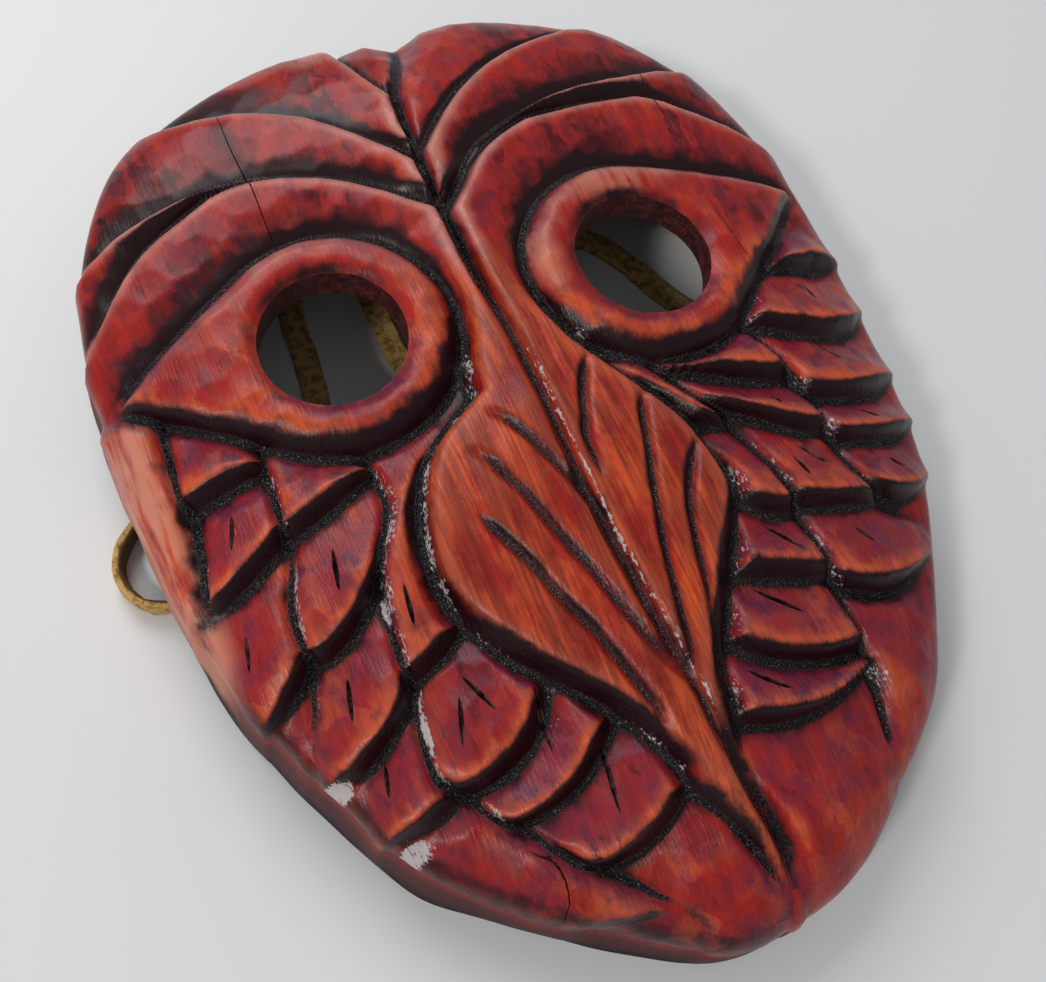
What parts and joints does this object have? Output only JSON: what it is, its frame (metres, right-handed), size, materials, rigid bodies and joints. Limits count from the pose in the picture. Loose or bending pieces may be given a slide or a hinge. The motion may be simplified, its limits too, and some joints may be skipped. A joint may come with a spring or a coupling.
{
  "type": "carved wooden owl mask",
  "caption": "Hollow hand-carved wooden owl face with a pointed bill, lapped brow and cheek feathers, round eye holes and a suede lace, lying face up.",
  "frame": {"origin": "on the table under the middle of the mask's bounding box, with the mask lying face up on its rim", "axes": "+X to the right of the face as seen from the front, +Y towards the forehead, +Z out of the face"},
  "size_m": [0.2273, 0.2834, 0.0569],
  "materials": {
    "stained_wood": "red and purple stain with blackened cuts under gloss varnish",
    "suede": "rough napped suede, brown and smooth on the inner face"
  },
  "bodies": {
    "root": {"mask": "stained_wood", "lace": "suede"}
  },
  "joints": []
}
